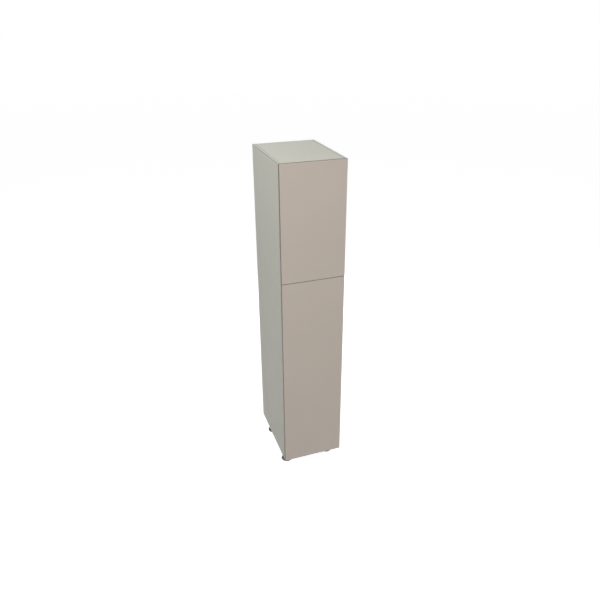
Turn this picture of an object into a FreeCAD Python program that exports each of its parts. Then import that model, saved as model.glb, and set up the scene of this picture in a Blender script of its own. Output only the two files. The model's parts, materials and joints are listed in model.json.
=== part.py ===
import FreeCAD, Part
import math
import os
import Sketcher

from FreeCAD import Placement, Rotation, Vector

# Tall utility cabinet on screw feet: a frameless board carcass with two slab doors, one above the other.
# Millimetres. The origin is on the floor under the middle, +Z is up, and the doors face -Y.

doc = FreeCAD.newDocument("UtilityCabinet")
sheet = doc.addObject("Spreadsheet::Sheet", "Sizes")


class Size:
    """A length with its number and the sheet formula that drives it."""

    def __init__(self, number, formula):
        self.number = number
        self.formula = formula

    def joined(self, sign, other, number):
        return Size(number, f"({self.formula} {sign} {formula_of(other)})")

    def __add__(self, other):
        return self.joined("+", other, self.number + number_of(other))

    def __radd__(self, other):
        return Size(other + self.number, f"({other} + {self.formula})")

    def __sub__(self, other):
        return self.joined("-", other, self.number - number_of(other))

    def __mul__(self, other):
        return self.joined("*", other, self.number * number_of(other))

    def __truediv__(self, other):
        return self.joined("/", other, self.number / number_of(other))

    def __neg__(self):
        return Size(-self.number, f"(0 - {self.formula})")


def number_of(value):
    return value.number if isinstance(value, Size) else value


def formula_of(value):
    return value.formula if isinstance(value, Size) else str(value)


def rounded(value):
    """The nearest whole number, for a count of rows."""
    return Size(round(value.number), f"round({value.formula})")


def rounded_down(value):
    """The whole number below, for a count of rows."""
    return Size(math.floor(value.number), f"floor({value.formula})")


def size(name, number, note):
    """Write one driving value into the next row of the sheet."""
    row = len(size.names) + 1
    size.names.append(name)
    sheet.set(f"A{row}", name)
    sheet.set(f"B{row}", str(number))
    sheet.set(f"C{row}", note)
    sheet.setAlias(f"B{row}", name)
    return Size(number, f"Sizes.{name}")


size.names = []

# Overall sizes
cabinet_width = size("cabinet_width", 457, "over both side panels")
cabinet_depth = size("cabinet_depth", 632, "from the door fronts to the back")
carcass_height = size("carcass_height", 2324, "of the side panels")
leg_height = size("leg_height", 114, "floor to carcass, feet screwed right in")
cut_overrun = size("cut_overrun", 1, "by which a through cut passes the face it leaves")

# Boards
board = size("board", 19, "thickness of the carcass boards")
edge_band = size("edge_band", 1, "thickness of the front edge bands")
back_thickness = size("back_thickness", 6, "of the back panel")
groove_depth = size("groove_depth", 8, "of the groove that holds the back panel")
groove_clearance = size("groove_clearance", 0.2, "round the back panel in its groove")
rail_thickness = size("rail_thickness", 19, "of the rails behind the back panel")
rail_height = size("rail_height", 100, "of the rails behind the back panel")
wall_hole_radius = size("wall_hole_radius", 3.5, "of the wall fixing holes in the top rail")
wall_hole_spacing = size("wall_hole_spacing", 320, "between the two wall fixing holes")

# Doors
door_thickness = size("door_thickness", 19, "of both doors")
door_gap = size("door_gap", 3, "between the carcass front and the doors")
side_reveal = size("side_reveal", 1.5, "of the carcass side beside a door")
split_gap = size("split_gap", 3, "between the two doors")
upper_door_height = size("upper_door_height", 808, "of the short door")
door_arris = size("door_arris", 1, "rounding of the door edges")

# Adjustable shelves and the rows of holes for their pins
shelf_side_clearance = size("shelf_side_clearance", 1.5, "between a loose shelf and a side panel")
shelf_setback = size("shelf_setback", 25, "of a loose shelf from the carcass front")
shelf_back_clearance = size("shelf_back_clearance", 3, "between a loose shelf and the back panel")
row_pitch = size("row_pitch", 32, "between two rows of pin holes")
row_setback = size("row_setback", 37, "of the front column of pin holes")
row_back_setback = size("row_back_setback", 78, "of the back column of pin holes from the back panel")
pin_hole_depth = size("pin_hole_depth", 10, "of a pin hole")
lower_first_row = size("lower_first_row", 200, "first row above the bottom panel")
upper_first_row = size("upper_first_row", 160, "first row above the fixed shelf")
pin_radius = size("pin_radius", 2.5, "of a shelf pin")
pin_reach = size("pin_reach", 11, "of a shelf pin out of the side panel")
pin_tongue_width = size("pin_tongue_width", 12, "of the flat tongue under the shelf")
pin_tongue_thickness = size("pin_tongue_thickness", 2.5, "of the flat tongue under the shelf")
wood_fit = size("wood_fit", 0.05, "round a pin, dowel or screw in its hole")

# Corner fittings
dowel_radius = size("dowel_radius", 4, "of a wooden dowel")
dowel_in_side = size("dowel_in_side", 12, "length of a dowel in a side panel")
dowel_in_board = size("dowel_in_board", 23, "length of a dowel in a cross board")
dowel_distance = size("dowel_distance", 80, "of a dowel from the cam beside it")
cam_radius = size("cam_radius", 7.5, "of a cam lock")
cam_height = size("cam_height", 12.5, "of a cam lock")
cam_distance = size("cam_distance", 24, "of the cam's centre from the board's end")
cam_setback = size("cam_setback", 40, "of a cam from the front or back of the fixed shelf")
cam_slot_width = size("cam_slot_width", 2, "of the driver slot in a cam")
cam_slot_depth = size("cam_slot_depth", 3, "of the driver slot in a cam")
bolt_radius = size("bolt_radius", 3, "of a cam bolt's shank")
bolt_in_side = size("bolt_in_side", 10.5, "length of a cam bolt in a side panel")
bolt_fit = size("bolt_fit", 0.5, "round a cam bolt's shank")

# Concealed hinges
hinge_end_distance = size("hinge_end_distance", 100, "of an end hinge from the door's end")
cup_radius = size("cup_radius", 17.5, "of the bore for a hinge cup")
cup_depth = size("cup_depth", 13.1, "of a hinge cup in the door")
cup_wall = size("cup_wall", 0.7, "of a hinge cup")
cup_rim = size("cup_rim", 1, "of a hinge cup round its bore")
cup_inset = size("cup_inset", 22.5, "of the cup's centre from the cabinet side")
flange_thickness = size("flange_thickness", 1, "of the cup's flange")
flange_length = size("flange_length", 62, "of the cup's flange along the door")
flange_width = size("flange_width", 14, "of the cup's flange across the door")
flange_offset = size("flange_offset", 6, "of the flange from the cup's centre")
cup_screw_spacing = size("cup_screw_spacing", 48, "between the two screws of a cup")
pivot_inset = size("pivot_inset", 9, "of the hinge pin from the cabinet side")
pivot_depth = size("pivot_depth", 9.8, "of the hinge pin behind the door's back face")
hinge_pin_radius = size("hinge_pin_radius", 1.25, "of the hinge pin")
hinge_pin_clearance = size("hinge_pin_clearance", 0.05, "between the hinge pin and the arm's eye")
eye_radius = size("eye_radius", 2.2, "of the arm's eye")
lug_thickness = size("lug_thickness", 2.2, "of the cup lugs that hold the pin")
lug_inside = size("lug_inside", 3, "of a lug from the pin towards the cup's centre")
lug_outside = size("lug_outside", 1.7, "of a lug from the pin towards the cup's wall")
lug_clearance = size("lug_clearance", 0.3, "between a lug and the arm")
arm_width = size("arm_width", 10, "of the hinge arm along the cabinet's height")
arm_metal = size("arm_metal", 2.2, "thickness of the hinge arm")
arm_bend = size("arm_bend", 3.5, "cut off the outside of the arm's bend")
arm_rise = size("arm_rise", 13.5, "of the arm's outer face from the side panel")
arm_length = size("arm_length", 62, "of the arm behind the carcass front")
cheek_start = size("cheek_start", 6, "of the arm's cheeks behind the carcass front")
cheek_metal = size("cheek_metal", 1.2, "thickness of the arm's cheeks")
plate_metal = size("plate_metal", 3, "thickness of the mounting plate")
plate_width = size("plate_width", 18, "of the mounting plate's wings")
plate_length = size("plate_length", 50, "of the mounting plate along the panel")
boss_length = size("boss_length", 40, "of the plate's boss under the arm")
arm_screw_distance = size("arm_screw_distance", 12, "of the arm's screw behind the plate's holes")

# Screws
screw_radius = size("screw_radius", 2, "of the screws' shanks")
screw_length = size("screw_length", 12, "of the screws' shanks")
screw_head_radius = size("screw_head_radius", 3.8, "of the screws' heads")
screw_head_height = size("screw_head_height", 2, "of the screws' heads")
screw_slot_length = size("screw_slot_length", 4.4, "of the cross recess in a head")
screw_slot_width = size("screw_slot_width", 0.9, "of the cross recess in a head")
screw_slot_depth = size("screw_slot_depth", 1.2, "of the cross recess in a head")
screw_clearance = size("screw_clearance", 0.3, "round a screw in metal or plastic")
arm_screw_length = size("arm_screw_length", 8, "of the arm screws' shanks")

# Push latches
latch_width = size("latch_width", 18, "of a latch housing")
latch_height = size("latch_height", 15, "of a latch housing")
latch_length = size("latch_length", 82, "of a latch housing")
latch_setback = size("latch_setback", 2, "of a latch housing from the carcass front")
latch_inset = size("latch_inset", 45, "of the latch's centre from the side panel")
latch_screw_setback = size("latch_screw_setback", 16, "of the latch screws from its ends")
tab_width = size("tab_width", 11, "of the housing's screw tabs beside it")
tab_thickness = size("tab_thickness", 3, "of the housing's screw tabs")
plunger_radius = size("plunger_radius", 4, "of a latch plunger")
plunger_clearance = size("plunger_clearance", 0.08, "round a plunger in its housing")
plunger_length = size("plunger_length", 60, "of a plunger")
plunger_bore = size("plunger_bore", 70, "depth of the plunger's bore")
strike_radius = size("strike_radius", 8, "of the strike plate on the door")
strike_thickness = size("strike_thickness", 1.5, "of the strike plate on the door")
strike_peg_radius = size("strike_peg_radius", 2.5, "of the strike plate's peg")
strike_peg_length = size("strike_peg_length", 9, "of the strike plate's peg")
strike_contact = size("strike_contact", 0.2, "between the plunger's tip and the strike plate")

# Screw feet
leg_inset = size("leg_inset", 59, "of a leg's centre from the cabinet side")
leg_front_setback = size("leg_front_setback", 131, "of a front leg's centre from the carcass front")
leg_back_setback = size("leg_back_setback", 97, "of a back leg's centre from the back")
socket_flange_radius = size("socket_flange_radius", 38, "of a leg socket's flange")
socket_flange_thickness = size("socket_flange_thickness", 4, "of a leg socket's flange")
socket_radius = size("socket_radius", 21, "of a leg socket")
socket_length = size("socket_length", 54, "of a leg socket below its flange")
stem_radius = size("stem_radius", 14, "of a foot's screwed stem")
stem_clearance = size("stem_clearance", 0.1, "round the stem in its socket")
stem_length = size("stem_length", 50, "of the stem inside its socket")
neck_radius = size("neck_radius", 19, "of a foot's neck")
neck_waist = size("neck_waist", 3, "groove depth between the neck's grip ribs")
foot_radius = size("foot_radius", 42, "of a foot's disc")
foot_thickness = size("foot_thickness", 9, "of a foot's disc")
foot_edge = size("foot_edge", 2.5, "chamfer of a foot's disc")
leg_screw_circle = size("leg_screw_circle", 29.5, "radius of the circle of a socket's screws")
doc.recompute()

# Heights of the loose shelves in their compartments, and places shared by several sub-parts
shelf_height_shares = {
    "upper_low_shelf": 1 / 3,
    "upper_high_shelf": 2 / 3,
    "lower_low_shelf": 1 / 3,
    "lower_high_shelf": 2 / 3,
}
HALF_TURN = 180
QUARTER_TURN = 90
SCREWS_PER_LEG = 4

half_width = cabinet_width / 2
inside_width = cabinet_width - board * 2
door_front_y = -(cabinet_depth / 2)
door_back_y = door_front_y + door_thickness
carcass_front_y = door_back_y + door_gap
back_y = cabinet_depth / 2
carcass_depth = cabinet_depth - door_thickness - door_gap
back_panel_y = back_y - rail_thickness - back_thickness
inside_depth = back_panel_y - carcass_front_y
inside_bottom_z = leg_height + board
carcass_top_z = leg_height + carcass_height
lower_door_height = carcass_height - upper_door_height - split_gap
upper_door_z = leg_height + lower_door_height + split_gap
fixed_shelf_z = leg_height + lower_door_height + split_gap / 2 - board / 2
fixed_shelf_top_z = fixed_shelf_z + board
top_panel_z = carcass_top_z - board
groove_bottom_z = inside_bottom_z - groove_depth
groove_height = top_panel_z - inside_bottom_z + groove_depth * 2
lower_compartment = (inside_bottom_z, fixed_shelf_z - inside_bottom_z, lower_first_row)
upper_compartment = (fixed_shelf_top_z, top_panel_z - fixed_shelf_top_z, upper_first_row)
cross_board_depth = inside_depth - edge_band
cam_rows = (cam_setback, cross_board_depth - cam_setback)
dowel_rows = (cam_setback + dowel_distance, cross_board_depth - cam_setback - dowel_distance)
pin_columns = (row_setback, inside_depth - row_back_setback)
cross_boards_z = (leg_height, fixed_shelf_z, top_panel_z)
upper_hinges_z = (upper_door_z + hinge_end_distance, carcass_top_z - hinge_end_distance)
lower_hinges_z = (
    leg_height + hinge_end_distance,
    leg_height + lower_door_height / 2,
    leg_height + lower_door_height - hinge_end_distance,
)
all_hinges_z = upper_hinges_z + lower_hinges_z
latch_x = -half_width + board + latch_inset
upper_latch_z = top_panel_z - latch_height / 2
lower_latch_z = fixed_shelf_z - latch_height / 2
latch_screw_x = (latch_width + tab_width) / 2
leg_places = {
    "front_left": (-half_width + leg_inset, carcass_front_y + leg_front_setback),
    "front_right": (half_width - leg_inset, carcass_front_y + leg_front_setback),
    "back_left": (-half_width + leg_inset, back_y - leg_back_setback),
    "back_right": (half_width - leg_inset, back_y - leg_back_setback),
}

sub_parts = []
cuts = []


# Small helpers for bodies, sketches and features

def bind(item, name, value):
    item.setExpression(name, formula_of(value))


def put(item, place):
    for axis, value in zip("xyz", place):
        bind(item, f"Placement.Base.{axis}", value)


def new_body(label, place=(0, 0, 0), keep=True):
    body = doc.addObject("PartDesign::Body", label)
    body.Label = label
    put(body, place)
    if keep:
        sub_parts.append(body)
    return body


def new_sketch(body, role, offset=0):
    plane = next(item for item in body.Origin.OriginFeatures if item.Role == role)
    sketch = body.newObject("Sketcher::SketchObject", f"{body.Name}_sketch")
    sketch.AttachmentSupport = [(plane, "")]
    sketch.MapMode = "FlatFace"
    bind(sketch, "AttachmentOffset.Base.z", offset)
    return sketch


def fix_point(sketch, geometry, point, place):
    """Tie a sketch point to the sketch's origin by two driven distances."""
    for kind, value, axis in (("DistanceX", place[0], -2), ("DistanceY", place[1], -1)):
        if number_of(value) == 0:
            sketch.addConstraint(Sketcher.Constraint("PointOnObject", geometry, point, axis))
            continue
        rule = Sketcher.Constraint(kind, -1, 1, geometry, point, number_of(value))
        bind(sketch, f"Constraints[{sketch.addConstraint(rule)}]", value)


def draw_outline(sketch, points):
    """Draw a closed outline of straight lines through points of driven sizes."""
    first = sketch.GeometryCount
    corners = [Vector(number_of(across), number_of(up), 0) for across, up in points]
    count = len(points)
    for index in range(count):
        line = Part.LineSegment(corners[index], corners[(index + 1) % count])
        sketch.addGeometry(line, False)
    for index in range(count):
        following = first + (index + 1) % count
        sketch.addConstraint(Sketcher.Constraint("Coincident", first + index, 2, following, 1))
    for index, place in enumerate(points):
        fix_point(sketch, first + index, 1, place)


def draw_rectangle(sketch, low, high):
    draw_outline(sketch, (low, (high[0], low[1]), high, (low[0], high[1])))


def draw_circle(sketch, centre, radius):
    middle = Vector(number_of(centre[0]), number_of(centre[1]), 0)
    index = sketch.addGeometry(Part.Circle(middle, Vector(0, 0, 1), number_of(radius)), False)
    rule = sketch.addConstraint(Sketcher.Constraint("Radius", index, number_of(radius)))
    bind(sketch, f"Constraints[{rule}]", radius)
    fix_point(sketch, index, 3, centre)


def pad(body, sketch, length):
    feature = body.newObject("PartDesign::Pad", f"{body.Name}_pad")
    feature.Profile = sketch
    bind(feature, "Length", length)
    return feature


def pocket(body, sketch, length, along_normal=False):
    """Cut a sketch into the body, against the sketch's normal unless told otherwise."""
    before = body.Tip
    feature = body.newObject("PartDesign::Pocket", f"{body.Name}_pocket")
    feature.Profile = sketch
    feature.Reversed = along_normal
    bind(feature, "Length", length)
    cuts.append((feature, before))
    return feature


def revolve(body, sketch):
    feature = body.newObject("PartDesign::Revolution", f"{body.Name}_turned")
    feature.Profile = sketch
    feature.ReferenceAxis = (sketch, ["V_Axis"])
    feature.Angle = 360
    return feature


def slab(label, place, extent, keep=True):
    """A rectangular board from its low corner."""
    body = new_body(label, place, keep)
    sketch = new_sketch(body, "XY_Plane")
    draw_rectangle(sketch, (0, 0), (extent[0], extent[1]))
    pad(body, sketch, extent[2])
    return body


def drill(body, role, offset, centres, radius, depth, along_normal):
    """Round holes of one radius and depth, from one plane of the body."""
    sketch = new_sketch(body, role, offset)
    for centre in centres:
        draw_circle(sketch, centre, radius)
    return pocket(body, sketch, depth, along_normal)


def group(label, form, places, turn=None):
    """Copies of one form, as separate solids in one node."""
    copies = []
    for place in places:
        copy = doc.addObject("App::Link", f"{label}_copy")
        copy.LinkedObject = form
        copy.LinkTransform = False
        copy.Placement = Placement(Vector(0, 0, 0), place[3] if len(place) > 3 else turn or Rotation())
        put(copy, place[:3])
        copies.append(copy)
    whole = doc.addObject("Part::Compound", label)
    whole.Label = label
    whole.Links = copies
    sub_parts.append(whole)


# Side panels

def side_panel(label, place_x, inner_face, into_board, groove_low):
    """A side panel; inner_face is its inside in its own x, and into_board turns its cuts round."""
    depth = carcass_depth - edge_band
    body = slab(label, (place_x, carcass_front_y + edge_band, leg_height), (board, depth, carcass_height))
    groove = new_sketch(body, "XY_Plane", groove_bottom_z - leg_height)
    groove_y = back_panel_y - carcass_front_y - edge_band
    low = (groove_low, groove_y - groove_clearance)
    draw_rectangle(groove, low, (groove_low + groove_depth, groove_y + back_thickness + groove_clearance))
    pocket(body, groove, groove_height, True)

    dowel_holes = []
    bolt_holes = []
    for height in cross_boards_z:
        middle = height + board / 2 - leg_height
        dowel_holes += [(along, middle) for along in dowel_rows]
        bolt_holes += [(along, middle) for along in cam_rows]
    drill(body, "YZ_Plane", inner_face, dowel_holes, dowel_radius + wood_fit, dowel_in_side, into_board)
    drill(body, "YZ_Plane", inner_face, bolt_holes, bolt_radius + wood_fit, bolt_in_side, into_board)

    for floor_z, height, first_row in (lower_compartment, upper_compartment):
        count = rounded_down((height - first_row * 2) / row_pitch) + 1
        pair = [(along - edge_band, floor_z + first_row - leg_height) for along in pin_columns]
        holes = drill(body, "YZ_Plane", inner_face, pair, pin_radius + wood_fit, pin_hole_depth, into_board)
        repeat = body.newObject("PartDesign::LinearPattern", f"{label}_rows")
        repeat.Originals = [holes]
        repeat.Direction = (holes.Profile[0], ["V_Axis"])
        bind(repeat, "Occurrences", count)
        bind(repeat, "Length", (count - 1) * row_pitch)
        body.Tip = repeat
    return body


def right_side_panel():
    body = side_panel("right_side_panel", half_width - board, 0, True, 0)
    holes = []
    for height in all_hinges_z:
        for side in (-1, 1):
            holes.append((row_setback - edge_band, height + row_pitch / 2 * side - leg_height))
    drill(body, "YZ_Plane", 0, holes, screw_radius + wood_fit, screw_length, True)


# Cross boards between the side panels

def cross_board(label, height, depth):
    """Top, bottom or fixed shelf, with dowel, bolt and cam bores at both ends."""
    place = (-half_width + board, carcass_front_y + edge_band, height)
    body = slab(label, place, (inside_width, depth - edge_band, board))
    dowels = [(along, board / 2) for along in dowel_rows]
    bolts = [(along, board / 2) for along in cam_rows]
    for end, inward in ((0, True), (inside_width, False)):
        drill(body, "YZ_Plane", end, dowels, dowel_radius + wood_fit, dowel_in_board, inward)
        drill(body, "YZ_Plane", end, bolts, bolt_radius + bolt_fit, cam_distance, inward)
    cams = []
    for across in (cam_distance, inside_width - cam_distance):
        cams += [(across, along) for along in cam_rows]
    drill(body, "XY_Plane", 0, cams, cam_radius + wood_fit, cam_height, True)
    return body


def back_groove(body, face_height, upward):
    """The groove across a cross board that takes the back panel's edge."""
    sketch = new_sketch(body, "XY_Plane", face_height)
    groove_y = back_panel_y - carcass_front_y - edge_band
    low = (0, groove_y - groove_clearance)
    draw_rectangle(sketch, low, (inside_width, groove_y + back_thickness + groove_clearance))
    pocket(body, sketch, groove_depth, upward)


def latch_pilot_holes(body):
    """Pilot holes for a latch's screws, in the board it hangs from."""
    holes = []
    for across in (-latch_screw_x, latch_screw_x):
        holes.append((latch_inset + across, latch_setback - edge_band + latch_screw_setback))
    drill(body, "XY_Plane", 0, holes, screw_radius + wood_fit, screw_length, True)


def leg_screw_ring(centre_x, centre_y):
    """Places of one leg's screws, evenly round the leg's centre."""
    spots = []
    for step in range(SCREWS_PER_LEG):
        angle = 2 * math.pi * (step + 0.5) / SCREWS_PER_LEG
        across = centre_x + leg_screw_circle * round(math.cos(angle), 6)
        along = centre_y + leg_screw_circle * round(math.sin(angle), 6)
        spots.append((across, along))
    return spots


def cross_boards():
    top = cross_board("top_panel", top_panel_z, carcass_depth)
    back_groove(top, 0, True)
    latch_pilot_holes(top)
    shelf = cross_board("fixed_shelf", fixed_shelf_z, inside_depth)
    latch_pilot_holes(shelf)
    bottom = cross_board("bottom_panel", leg_height, carcass_depth)
    back_groove(bottom, board, False)
    holes = []
    for leg_x, leg_y in leg_places.values():
        centre_x = leg_x + half_width - board
        centre_y = leg_y - carcass_front_y - edge_band
        holes += leg_screw_ring(centre_x, centre_y)
    drill(bottom, "XY_Plane", 0, holes, screw_radius + wood_fit, screw_length, True)


# Back panel and the rails behind it

def back_and_rails():
    low_x = -half_width + board - groove_depth + groove_clearance
    width = inside_width + groove_depth * 2 - groove_clearance * 2
    low_z = groove_bottom_z + groove_clearance
    height = groove_height - groove_clearance * 2
    back = slab("back_panel", (low_x, back_panel_y, low_z), (width, back_thickness, height))
    wall_hole_z = top_panel_z - rail_height / 2
    middle = -low_x
    holes = [
        (middle - wall_hole_spacing / 2, wall_hole_z - low_z),
        (middle + wall_hole_spacing / 2, wall_hole_z - low_z),
    ]
    drill(back, "XZ_Plane", 0, holes, wall_hole_radius, back_thickness, False)
    rails = {
        "top_back_rail": top_panel_z - rail_height,
        "middle_back_rail": fixed_shelf_z + board / 2 - rail_height / 2,
        "bottom_back_rail": inside_bottom_z,
    }
    for label, rail_z in rails.items():
        place = (-half_width + board, back_panel_y + back_thickness, rail_z)
        rail = slab(label, place, (inside_width, rail_thickness, rail_height))
        if label == "top_back_rail":
            middle = inside_width / 2
            spread = wall_hole_spacing / 2
            holes = [(middle - spread, rail_height / 2), (middle + spread, rail_height / 2)]
            drill(rail, "XZ_Plane", 0, holes, wall_hole_radius, rail_thickness, False)


# Loose shelves, the edge bands and the shelf pins

def row_height(label):
    """Height of the pin row that carries a loose shelf, nearest to its share of the compartment."""
    compartment = upper_compartment if label.startswith("upper") else lower_compartment
    floor_z, height, first_row = compartment
    row = rounded((height * shelf_height_shares[label] - first_row) / row_pitch)
    return floor_z + first_row + row * row_pitch


def loose_shelves():
    low_x = -half_width + board + shelf_side_clearance
    width = inside_width - shelf_side_clearance * 2
    front_y = carcass_front_y + shelf_setback
    depth = inside_depth - shelf_setback - shelf_back_clearance
    for label in shelf_height_shares:
        height = row_height(label) + pin_radius
        slab(label, (low_x, front_y + edge_band, height), (width, depth - edge_band, board))
        slab(f"{label}_edge_band", (low_x, front_y, height), (width, edge_band, board))


def carcass_edge_bands():
    for label, low_x in (("left_side", -half_width), ("right_side", half_width - board)):
        place = (low_x, carcass_front_y, leg_height)
        slab(f"{label}_edge_band", place, (board, edge_band, carcass_height))
    for label, height in zip(("bottom_panel", "fixed_shelf", "top_panel"), cross_boards_z):
        place = (-half_width + board, carcass_front_y, height)
        slab(f"{label}_edge_band", place, (inside_width, edge_band, board))


def shelf_pins():
    form = new_body("shelf_pin_form", keep=False)
    peg = new_sketch(form, "YZ_Plane", -pin_hole_depth)
    draw_circle(peg, (0, 0), pin_radius)
    pad(form, peg, pin_hole_depth + pin_reach)
    tongue = new_sketch(form, "YZ_Plane")
    draw_rectangle(tongue, (-(pin_tongue_width / 2), pin_radius - pin_tongue_thickness),
                   (pin_tongue_width / 2, pin_radius))
    pad(form, tongue, pin_reach)
    places = []
    for label in shelf_height_shares:
        for along in pin_columns:
            spot = (carcass_front_y + along, row_height(label))
            places.append((-half_width + board,) + spot)
            places.append((half_width - board,) + spot + (Rotation(Vector(0, 0, 1), HALF_TURN),))
    group("shelf_pins", form, places)


# Corner fittings: dowels, cam bolts and cam locks

def corner_places(rows):
    """Both ends of every cross board, two along each end, turned to face outwards."""
    places = []
    for height in cross_boards_z:
        for along in rows:
            spot = (carcass_front_y + edge_band + along, height + board / 2)
            places.append((-half_width + board,) + spot + (Rotation(Vector(0, 0, 1), HALF_TURN),))
            places.append((half_width - board,) + spot)
    return places


def corner_fittings():
    dowel = new_body("dowel_form", keep=False)
    sketch = new_sketch(dowel, "YZ_Plane", -dowel_in_board)
    draw_circle(sketch, (0, 0), dowel_radius)
    pad(dowel, sketch, dowel_in_board + dowel_in_side)
    group("dowels", dowel, corner_places(dowel_rows))

    bolt = new_body("cam_bolt_form", keep=False)
    sketch = new_sketch(bolt, "YZ_Plane", -cam_distance)
    draw_circle(sketch, (0, 0), bolt_radius)
    pad(bolt, sketch, cam_distance + bolt_in_side)
    group("cam_bolts", bolt, corner_places(cam_rows))

    cam = new_body("cam_lock_form", keep=False)
    sketch = new_sketch(cam, "XY_Plane", -(board / 2))
    draw_circle(sketch, (-cam_distance, 0), cam_radius)
    pad(cam, sketch, cam_height)
    drill(cam, "YZ_Plane", -cam_distance, [(0, 0)], bolt_radius + wood_fit, cam_radius, True)
    slot = new_sketch(cam, "XY_Plane", -(board / 2))
    draw_rectangle(slot, (-cam_distance - cam_radius, -(cam_slot_width / 2)),
                   (-cam_distance + cam_radius, cam_slot_width / 2))
    pocket(cam, slot, cam_slot_depth, True)
    group("cam_locks", cam, corner_places(cam_rows))


# Screws

def screw_form(label, shank_length):
    """A pan-head screw with a cross recess; its head stands on z = 0 and its tip points down."""
    form = new_body(label, keep=False)
    profile = new_sketch(form, "XZ_Plane")
    draw_outline(profile, (
        (0, -shank_length),
        (screw_radius, -shank_length),
        (screw_radius, 0),
        (screw_head_radius, 0),
        (screw_head_radius, screw_head_height / 2),
        (screw_head_radius - screw_head_height / 2, screw_head_height),
        (0, screw_head_height),
    ))
    revolve(form, profile)
    long_side = screw_slot_length / 2
    short_side = screw_slot_width / 2
    for across, along in ((long_side, short_side), (short_side, long_side)):
        recess = new_sketch(form, "XY_Plane", screw_head_height)
        draw_rectangle(recess, (-across, -along), (across, along))
        pocket(form, recess, screw_slot_depth)
    return form


# Concealed hinges. Their own x runs outwards from the cabinet side and y back from the carcass front.

arm_face = board + arm_rise
arm_inner_face = arm_face - arm_metal
pivot_back = -(door_gap + pivot_depth)


def hinge_plate_form():
    form = new_body("hinge_plate_form", keep=False)
    wings = new_sketch(form, "YZ_Plane", -(board + plate_metal))
    draw_rectangle(wings, (row_setback - plate_width / 2, -(plate_length / 2)),
                   (row_setback + plate_width / 2, plate_length / 2))
    pad(form, wings, plate_metal)
    boss = new_sketch(form, "YZ_Plane", -arm_inner_face)
    half_boss = arm_width / 2 - cheek_metal - screw_clearance
    front_end = row_setback - boss_length / 2
    draw_rectangle(boss, (front_end, -half_boss), (front_end + boss_length, half_boss))
    pad(form, boss, arm_rise - arm_metal - plate_metal)
    holes = [(row_setback, -(row_pitch / 2)), (row_setback, row_pitch / 2)]
    reach = plate_metal + cut_overrun
    drill(form, "YZ_Plane", -board, holes, screw_radius + screw_clearance, reach, False)
    spot = [(row_setback + arm_screw_distance, 0)]
    drill(form, "YZ_Plane", -arm_inner_face, spot, screw_radius + wood_fit, arm_screw_length, True)
    return form


def hinge_arm_form():
    """A bent strap whose eye sits in the cup and whose cheeks stand over the mounting plate."""
    form = new_body("hinge_arm_form", keep=False)
    strap = new_sketch(form, "XY_Plane", -(arm_width / 2))
    half_metal = arm_metal / 2
    draw_outline(strap, (
        (-pivot_inset, pivot_back - half_metal),
        (-arm_face + arm_bend, pivot_back - half_metal),
        (-arm_face, pivot_back - half_metal + arm_bend),
        (-arm_face, arm_length),
        (-arm_inner_face, arm_length),
        (-arm_inner_face, pivot_back + half_metal),
        (-pivot_inset, pivot_back + half_metal),
    ))
    pad(form, strap, arm_width)
    eye = new_sketch(form, "XY_Plane", -(arm_width / 2))
    draw_circle(eye, (-pivot_inset, pivot_back), eye_radius)
    pad(form, eye, arm_width)
    for level in (-(arm_width / 2), arm_width / 2 - cheek_metal):
        cheek = new_sketch(form, "XY_Plane", level)
        low = (-arm_inner_face, cheek_start)
        draw_rectangle(cheek, low, (-(board + plate_metal + screw_clearance), arm_length))
        pad(form, cheek, cheek_metal)
    eye_centre = [(-pivot_inset, pivot_back)]
    eye_bore = hinge_pin_radius + hinge_pin_clearance
    drill(form, "XY_Plane", -(arm_width / 2), eye_centre, eye_bore, arm_width, True)
    spot = [(row_setback + arm_screw_distance, 0)]
    reach = arm_metal + cut_overrun
    drill(form, "YZ_Plane", -arm_face, spot, screw_radius + screw_clearance, reach, True)
    return form


def hinge_cup_form():
    """A cup in its own frame: y runs back from the door's back face, on the cup's axis."""
    form = new_body("hinge_cup_form", keep=False)
    outside = cup_radius - wood_fit
    flange = new_sketch(form, "XZ_Plane", -flange_thickness)
    draw_rectangle(flange, (-flange_offset - flange_width / 2, -(flange_length / 2)),
                   (-flange_offset + flange_width / 2, flange_length / 2))
    pad(form, flange, flange_thickness)
    profile = new_sketch(form, "XY_Plane")
    draw_outline(profile, (
        (0, -cup_depth),
        (outside, -cup_depth),
        (outside, 0),
        (cup_radius + cup_rim, 0),
        (cup_radius + cup_rim, flange_thickness),
        (0, flange_thickness),
    ))
    revolve(form, profile)
    mouth_depth = flange_thickness + cup_depth - cup_wall
    drill(form, "XZ_Plane", -flange_thickness, [(0, 0)], outside - cup_wall, mouth_depth, True)
    pin_x = cup_inset - pivot_inset
    lug_low = arm_width / 2 + lug_clearance
    for level in (-(lug_low + lug_thickness), lug_low):
        lug = new_sketch(form, "XY_Plane", level)
        draw_rectangle(lug, (pin_x - lug_inside, -cup_depth + cup_wall / 2),
                       (pin_x + lug_outside, -pivot_depth + lug_inside))
        pad(form, lug, lug_thickness)
    half_pin = lug_low + lug_thickness
    eye = [(pin_x, -pivot_depth)]
    drill(form, "XY_Plane", -half_pin, eye, hinge_pin_radius + wood_fit, half_pin * 2, True)
    spots = [(-flange_offset, -(cup_screw_spacing / 2)), (-flange_offset, cup_screw_spacing / 2)]
    reach = flange_thickness + cut_overrun
    drill(form, "XZ_Plane", -flange_thickness, spots, screw_radius + screw_clearance, reach, True)
    return form


def hinge_pin_form():
    form = new_body("hinge_pin_form", keep=False)
    half_pin = arm_width / 2 + lug_clearance + lug_thickness
    sketch = new_sketch(form, "XY_Plane", -half_pin)
    draw_circle(sketch, (0, 0), hinge_pin_radius)
    pad(form, sketch, half_pin * 2)
    return form


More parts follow.
